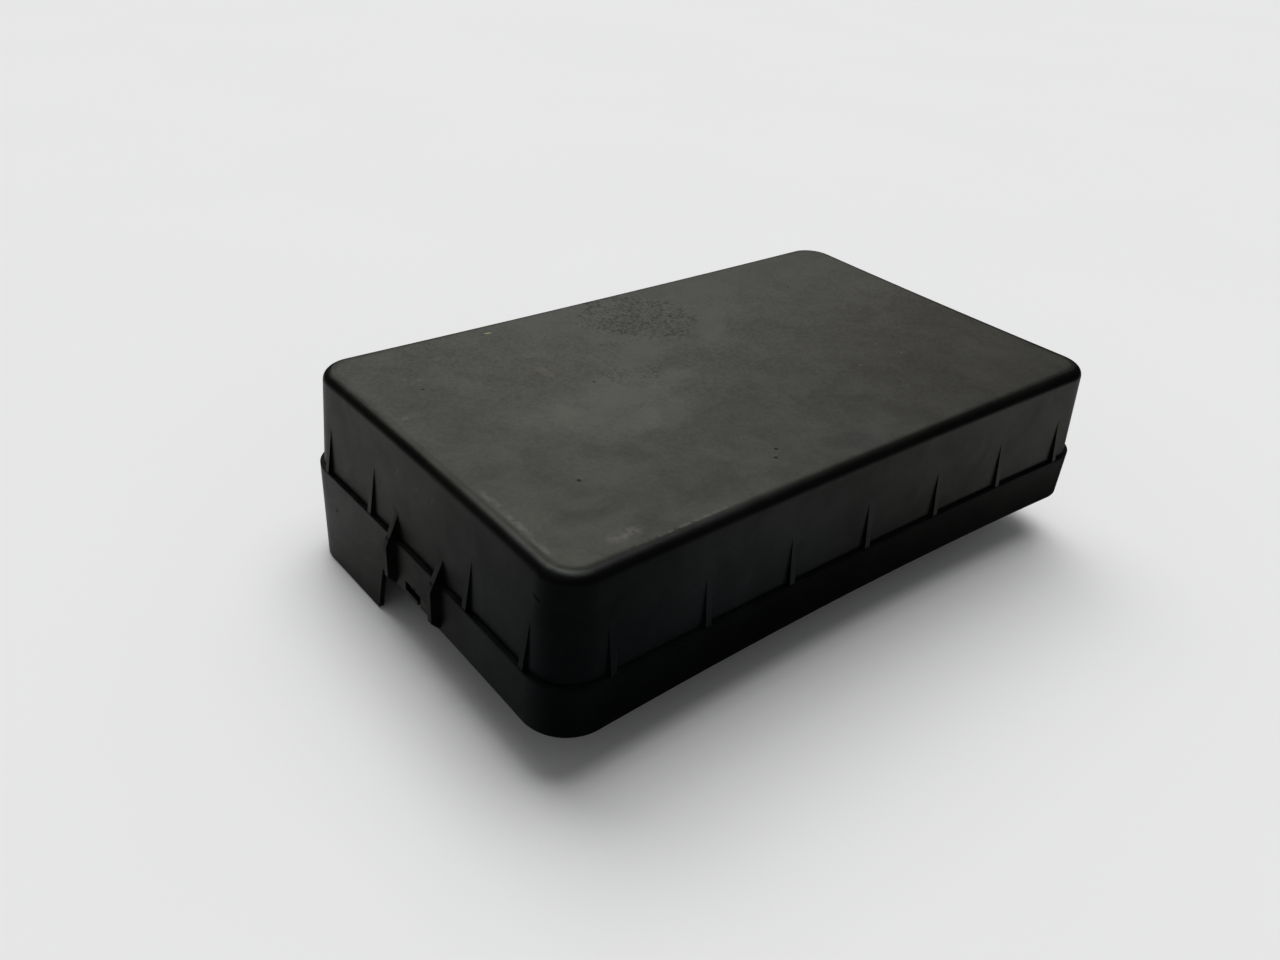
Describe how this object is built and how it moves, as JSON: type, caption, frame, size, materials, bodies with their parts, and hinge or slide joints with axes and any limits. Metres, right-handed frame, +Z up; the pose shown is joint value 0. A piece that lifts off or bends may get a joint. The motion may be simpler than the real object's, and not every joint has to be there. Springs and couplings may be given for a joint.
{
  "type": "battery box",
  "caption": "Low black plastic battery box: lift-off ribbed cover with stepped skirt and cable flap over a base tray with latches, hold-down bar and rubber feet.",
  "frame": {"origin": "on the floor under the middle of the box, in the plane of the four feet", "axes": "+X along the box towards the end without the flap, +Y towards the rear long side, +Z up"},
  "size_m": [0.3652, 0.2204, 0.104],
  "materials": {
    "black_cover": "moulded, faintly dusty, semi-matte",
    "black_tray": "moulded, matte",
    "black_rubber": "matte",
    "grey_foam": "closed-cell foam, matte",
    "latch_plastic": "slightly polished by sliding",
    "zinc_steel": "zinc plated",
    "painted_bar": "black powder coat"
  },
  "bodies": {
    "base": {"base_tray": "black_tray", "rim_seal": "grey_foam", "battery_mat": "black_rubber", "foot_front_left": "black_rubber", "foot_rear_left": "black_rubber", "foot_front_right": "black_rubber", "foot_rear_right": "black_rubber", "foot_screw_front_left": "zinc_steel", "foot_screw_rear_left": "zinc_steel", "foot_screw_front_right": "zinc_steel", "foot_screw_rear_right": "zinc_steel", "cable_grommet_inner": "black_rubber", "cable_grommet_outer": "black_rubber", "vent_plug": "black_rubber", "latch_guide_left": "black_tray", "latch_guide_right": "black_tray", "latch_screw_left_a": "zinc_steel", "latch_screw_left_b": "zinc_steel", "latch_screw_right_a": "zinc_steel", "latch_screw_right_b": "zinc_steel", "hold_down_rod_front": "zinc_steel", "hold_down_rod_rear": "zinc_steel", "rod_lock_nut_front": "zinc_steel", "rod_lock_nut_rear": "zinc_steel"},
    "cover": {"cover": "black_cover"},
    "latch_left": {"latch_bolt_left": "latch_plastic"},
    "latch_right": {"latch_bolt_right": "latch_plastic"},
    "hold_down": {"hold_down_bar": "painted_bar", "hold_down_pad": "black_rubber", "hold_down_washer_front": "zinc_steel", "hold_down_washer_rear": "zinc_steel"},
    "nut_front": {"thumb_nut_front": "zinc_steel"},
    "nut_rear": {"thumb_nut_rear": "zinc_steel"}
  },
  "joints": [
    {"name": "cover_lift", "type": "slide", "parent": "base", "child": "cover", "axis": [0, 0, 1], "range_m": [0, 0.11]},
    {"name": "latch_left_slide", "type": "slide", "parent": "base", "child": "latch_left", "axis": [-1, 0, 0], "range_m": [0, 0.005]},
    {"name": "latch_right_slide", "type": "slide", "parent": "base", "child": "latch_right", "axis": [1, 0, 0], "range_m": [0, 0.005]},
    {"name": "hold_down_lift", "type": "slide", "parent": "base", "child": "hold_down", "axis": [0, 0, 1], "range_m": [0, 0.0016]},
    {"name": "thumb_nut_front_turn", "type": "hinge", "parent": "hold_down", "child": "nut_front", "pos_m": [0, -0.093, 0.0776], "axis": [0, 0, 1], "range_deg": [0, 720]},
    {"name": "thumb_nut_rear_turn", "type": "hinge", "parent": "hold_down", "child": "nut_rear", "pos_m": [0, 0.093, 0.0776], "axis": [0, 0, 1], "range_deg": [0, 720]}
  ],
  "couplings": [
    {"joint": "thumb_nut_front_turn", "follows": "hold_down_lift", "rad_per_m": 7854},
    {"joint": "thumb_nut_rear_turn", "follows": "hold_down_lift", "rad_per_m": 7854}
  ]
}
